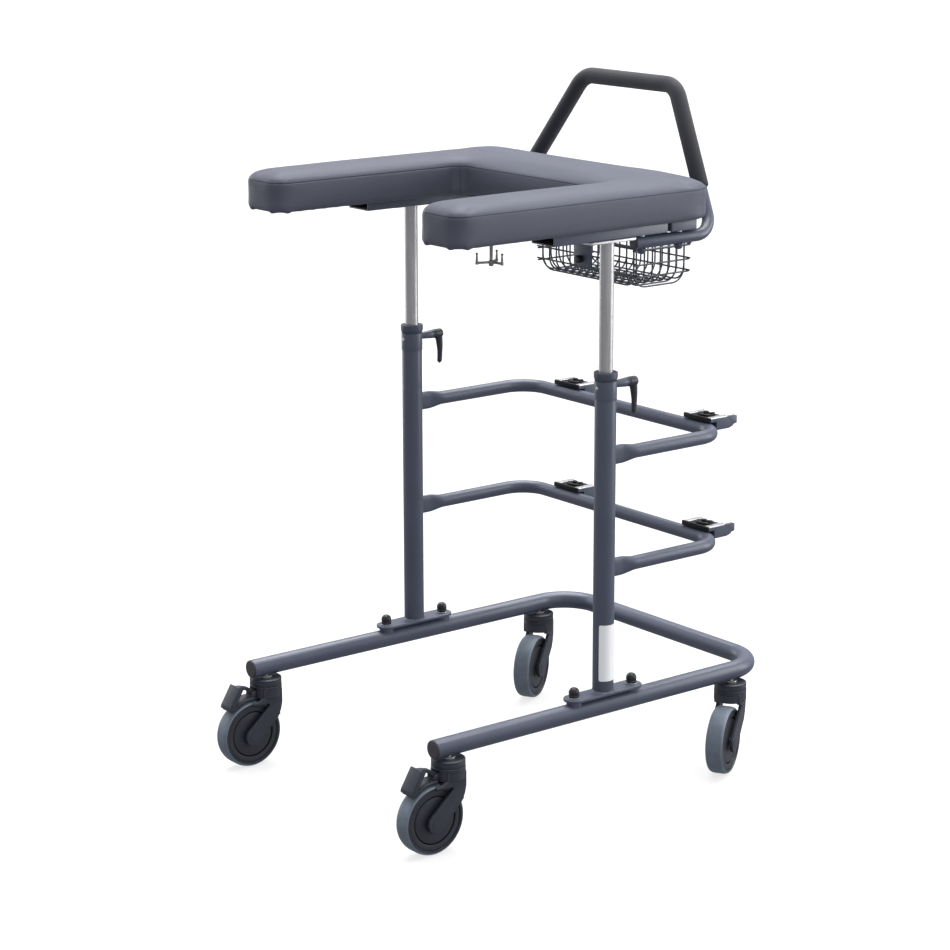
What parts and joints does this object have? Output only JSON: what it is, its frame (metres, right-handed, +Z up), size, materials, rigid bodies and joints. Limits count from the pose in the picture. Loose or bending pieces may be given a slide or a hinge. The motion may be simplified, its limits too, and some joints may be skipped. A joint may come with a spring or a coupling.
{
  "type": "gait trainer",
  "caption": "Walking frame on swivel casters with a U-shaped padded arm rest that slides up and down on telescopic posts, push handle, wire basket and braked rear casters.",
  "frame": {"origin": "centre of the bounding box's footprint, at floor level", "axes": "+Z up; +Y forwards, towards the push handle and the closed end of the base; +X to the right-hand side of the user, who faces +Y"},
  "size_m": [0.6611, 0.8594, 1.2661],
  "materials": {
    "frame_paint": "satin blue-grey powder coat",
    "bright_steel": "satin plated steel",
    "coated_wire": "dark coated wire",
    "caster_plastic": "fine-grained dark grey nylon",
    "wheel_core": "dark grey moulded plastic",
    "tyre": "blue-grey soft rubber tread",
    "black_plastic": "black moulded plastic",
    "bush_plastic": "satin blue-grey plastic, matched to the paint",
    "vinyl": "soft grey vinyl upholstery over foam",
    "board": "plywood",
    "grip_foam": "dark closed-cell foam"
  },
  "bodies": {
    "frame": {"base_plug_left": "black_plastic", "base_plug_right": "black_plastic", "base_tube": "frame_paint", "caster_head_front_left": "caster_plastic", "caster_head_front_right": "caster_plastic", "caster_head_rear_left": "caster_plastic", "caster_head_rear_right": "caster_plastic", "coupler_lower_left": "frame_paint", "coupler_lower_right": "frame_paint", "coupler_upper_left": "frame_paint", "coupler_upper_right": "frame_paint", "foot_bolt_front_left": "black_plastic", "foot_bolt_front_right": "black_plastic", "foot_bolt_rear_left": "black_plastic", "foot_bolt_rear_right": "black_plastic", "foot_plate_left": "frame_paint", "foot_plate_right": "frame_paint", "guard_bar_lower": "frame_paint", "guard_bar_upper": "frame_paint", "post_bush_left": "bush_plastic", "post_bush_right": "bush_plastic", "post_left": "frame_paint", "post_right": "frame_paint"},
    "carriage": {"arm_pad": "vinyl", "bag_hook": "bright_steel", "basket": "coated_wire", "basket_bracket": "frame_paint", "cross_channel": "frame_paint", "handle_bolt_front_left": "black_plastic", "handle_bolt_front_right": "black_plastic", "handle_bolt_rear_left": "black_plastic", "handle_bolt_rear_right": "black_plastic", "handle_grip": "grip_foam", "handle_tube": "frame_paint", "inner_tube_left": "bright_steel", "inner_tube_right": "bright_steel", "pad_board": "board", "rail_left": "frame_paint", "rail_right": "frame_paint"},
    "lever_right": {"clamp_lever_right": "black_plastic"},
    "caster_rear_right": {"caster_fork_rear_right": "caster_plastic"},
    "wheel_rear_right": {"wheel_core_rear_right": "wheel_core", "tyre_rear_right": "tyre"},
    "caster_front_right": {"caster_fork_front_right": "caster_plastic"},
    "wheel_front_right": {"wheel_core_front_right": "wheel_core", "tyre_front_right": "tyre"},
    "pedal_right": {"brake_pedal_right": "caster_plastic"},
    "lever_left": {"clamp_lever_left": "black_plastic"},
    "caster_rear_left": {"caster_fork_rear_left": "caster_plastic"},
    "wheel_rear_left": {"wheel_core_rear_left": "wheel_core", "tyre_rear_left": "tyre"},
    "caster_front_left": {"caster_fork_front_left": "caster_plastic"},
    "wheel_front_left": {"wheel_core_front_left": "wheel_core", "tyre_front_left": "tyre"},
    "pedal_left": {"brake_pedal_left": "caster_plastic"},
    "coupler_knob_upper_right": {"coupler_knob_upper_right": "black_plastic"},
    "coupler_knob_upper_left": {"coupler_knob_upper_left": "black_plastic"},
    "coupler_knob_lower_right": {"coupler_knob_lower_right": "black_plastic"},
    "coupler_knob_lower_left": {"coupler_knob_lower_left": "black_plastic"},
    "basket_knob": {"basket_knob": "black_plastic"}
  },
  "joints": [
    {"name": "carriage_height", "type": "slide", "parent": "frame", "child": "carriage", "axis": [0, 0, 1], "range_m": [-0.19, 0.16]},
    {"name": "lever_right_turn", "type": "hinge", "parent": "frame", "child": "lever_right", "pos_m": [0.267, 0.07, 0.7655], "axis": [0, 1, 0], "range_deg": [0, 90]},
    {"name": "caster_rear_right_swivel", "type": "hinge", "parent": "frame", "child": "caster_rear_right", "pos_m": [0.267, -0.327, 0.14], "axis": [0, 0, 1], "continuous": true},
    {"name": "wheel_rear_right_spin", "type": "hinge", "parent": "caster_rear_right", "child": "wheel_rear_right", "pos_m": [0.267, -0.367, 0.0625], "axis": [1, 0, 0], "continuous": true},
    {"name": "caster_front_right_swivel", "type": "hinge", "parent": "frame", "child": "caster_front_right", "pos_m": [0.267, 0.332, 0.14], "axis": [0, 0, 1], "continuous": true},
    {"name": "wheel_front_right_spin", "type": "hinge", "parent": "caster_front_right", "child": "wheel_front_right", "pos_m": [0.287, 0.29736, 0.0625], "axis": [0.866, 0.5, 0], "continuous": true},
    {"name": "pedal_right_press", "type": "hinge", "parent": "caster_rear_right", "child": "pedal_right", "pos_m": [0.267, -0.346, 0.138], "axis": [1, 0, 0], "range_deg": [0, 3.5]},
    {"name": "lever_left_turn", "type": "hinge", "parent": "frame", "child": "lever_left", "pos_m": [-0.293, 0.07, 0.7655], "axis": [0, 1, 0], "range_deg": [0, 90]},
    {"name": "caster_rear_left_swivel", "type": "hinge", "parent": "frame", "child": "caster_rear_left", "pos_m": [-0.293, -0.327, 0.14], "axis": [0, 0, 1], "continuous": true},
    {"name": "wheel_rear_left_spin", "type": "hinge", "parent": "caster_rear_left", "child": "wheel_rear_left", "pos_m": [-0.293, -0.367, 0.0625], "axis": [1, 0, 0], "continuous": true},
    {"name": "caster_front_left_swivel", "type": "hinge", "parent": "frame", "child": "caster_front_left", "pos_m": [-0.293, 0.332, 0.14], "axis": [0, 0, 1], "continuous": true},
    {"name": "wheel_front_left_spin", "type": "hinge", "parent": "caster_front_left", "child": "wheel_front_left", "pos_m": [-0.273, 0.29736, 0.0625], "axis": [0.866, 0.5, 0], "continuous": true},
    {"name": "pedal_left_press", "type": "hinge", "parent": "caster_rear_left", "child": "pedal_left", "pos_m": [-0.293, -0.346, 0.138], "axis": [1, 0, 0], "range_deg": [0, 3.5]},
    {"name": "coupler_knob_upper_right_turn", "type": "hinge", "parent": "frame", "child": "coupler_knob_upper_right", "pos_m": [0.2005, 0.32025, 0.659], "axis": [0, 0, 1], "range_deg": [0, 90]},
    {"name": "coupler_knob_upper_left_turn", "type": "hinge", "parent": "frame", "child": "coupler_knob_upper_left", "pos_m": [-0.169, 0.32025, 0.659], "axis": [0, 0, 1], "range_deg": [0, 90]},
    {"name": "coupler_knob_lower_right_turn", "type": "hinge", "parent": "frame", "child": "coupler_knob_lower_right", "pos_m": [0.2005, 0.32025, 0.455], "axis": [0, 0, 1], "range_deg": [0, 90]},
    {"name": "coupler_knob_lower_left_turn", "type": "hinge", "parent": "frame", "child": "coupler_knob_lower_left", "pos_m": [-0.169, 0.32025, 0.455], "axis": [0, 0, 1], "range_deg": [0, 90]},
    {"name": "basket_knob_turn", "type": "hinge", "parent": "carriage", "child": "basket_knob", "pos_m": [-0.013, 0.2, 0.932], "axis": [0, 1, 0], "continuous": true}
  ]
}
